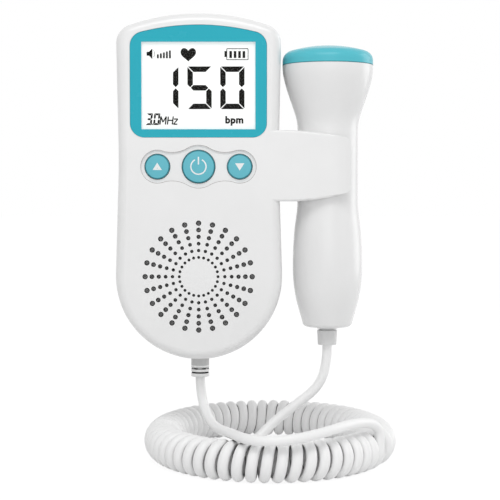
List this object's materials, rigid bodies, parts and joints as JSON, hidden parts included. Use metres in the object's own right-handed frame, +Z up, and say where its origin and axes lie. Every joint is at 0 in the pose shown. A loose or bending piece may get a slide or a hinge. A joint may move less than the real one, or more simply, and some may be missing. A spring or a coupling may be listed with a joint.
{
  "type": "fetal doppler monitor",
  "caption": "Hand-held heart rate monitor: console with arched display, round buttons and speaker grille, a side cradle that holds its probe, and a curly cord in a ring.",
  "frame": {"origin": "centre of the console back face, where a palm holds it, half way up the case", "axes": "+X across the console towards the probe, +Y out of the back face, +Z up the console; the front face looks towards -Y"},
  "size_m": [0.111, 0.1177, 0.1759],
  "materials": {
    "case_white": "satin moulded ABS",
    "teal_plastic": "glossy coloured ABS",
    "clear_lens": "clear polished acrylic",
    "lcd_white": "backlit display glass",
    "light_guide": "clear light guide",
    "board_green": "solder mask",
    "chip_black": "moulded epoxy",
    "switch_black": "moulded nylon",
    "steel": "plated steel",
    "cloth_black": "woven dust cloth",
    "foam_black": "closed foam",
    "speaker_metal": "painted pressed steel",
    "cone_paper": "coated paper",
    "magnet": "ferrite magnet in its cup",
    "cell_jacket": "plain metallic sleeve",
    "gland_grey": "soft moulded strain relief",
    "cord_white": "satin moulded jacket",
    "crystal": "silvered ceramic",
    "backing": "damping compound",
    "seal_black": "moulded seal",
    "wire_red": "wire insulation"
  },
  "bodies": {
    "console": {"front_shell": "case_white", "rear_shell": "case_white", "display_bezel": "teal_plastic", "display_window": "clear_lens", "lcd_panel": "lcd_white", "lcd_backlight": "light_guide", "main_board": "board_green", "board_chips": "chip_black", "board_screws": "steel", "up_switch": "switch_black", "power_switch": "switch_black", "down_switch": "switch_black", "speaker_dust_cloth": "cloth_black", "speaker_gasket": "foam_black", "speaker_frame": "speaker_metal", "speaker_cone": "cone_paper", "speaker_magnet": "magnet", "battery_left": "cell_jacket", "battery_right": "cell_jacket", "battery_contacts": "steel", "headphone_jack": "chip_black", "case_screws": "steel", "main_cable_gland": "gland_grey", "main_wires": "wire_red", "cord_main_lead": "cord_white", "cord_coil": "cord_white", "cord_probe_lead": "cord_white"},
    "up_button": {"up_button": "teal_plastic", "up_plunger": "switch_black"},
    "power_button": {"power_button": "teal_plastic", "power_plunger": "switch_black"},
    "down_button": {"down_button": "teal_plastic", "down_plunger": "switch_black"},
    "battery_door": {"battery_door": "case_white"},
    "probe": {"probe_front_half": "case_white", "probe_rear_half": "case_white", "probe_head_cap": "teal_plastic", "probe_seal": "seal_black", "crystal_pair": "crystal", "crystal_holder": "switch_black", "crystal_backing": "backing", "crystal_wires": "wire_red", "probe_board": "board_green", "probe_inner_cord": "cord_white", "probe_cable_gland": "gland_grey"}
  },
  "joints": [
    {"name": "up_press", "type": "slide", "parent": "console", "child": "up_button", "axis": [0, 1, 0], "range_m": [0, 0.0008], "stiffness_N_per_m": 1500, "springref_m": -0.0003},
    {"name": "power_press", "type": "slide", "parent": "console", "child": "power_button", "axis": [0, 1, 0], "range_m": [0, 0.0008], "stiffness_N_per_m": 1500, "springref_m": -0.0003},
    {"name": "down_press", "type": "slide", "parent": "console", "child": "down_button", "axis": [0, 1, 0], "range_m": [0, 0.0008], "stiffness_N_per_m": 1500, "springref_m": -0.0003},
    {"name": "battery_door_tilt", "type": "hinge", "parent": "console", "child": "battery_door", "pos_m": [0, 0, -0.0183], "axis": [-1, 0, 0], "range_deg": [0, 75]},
    {"name": "probe_pull", "type": "slide", "parent": "console", "child": "probe", "axis": [1, 0, 0], "range_m": [0, 0.045]}
  ]
}
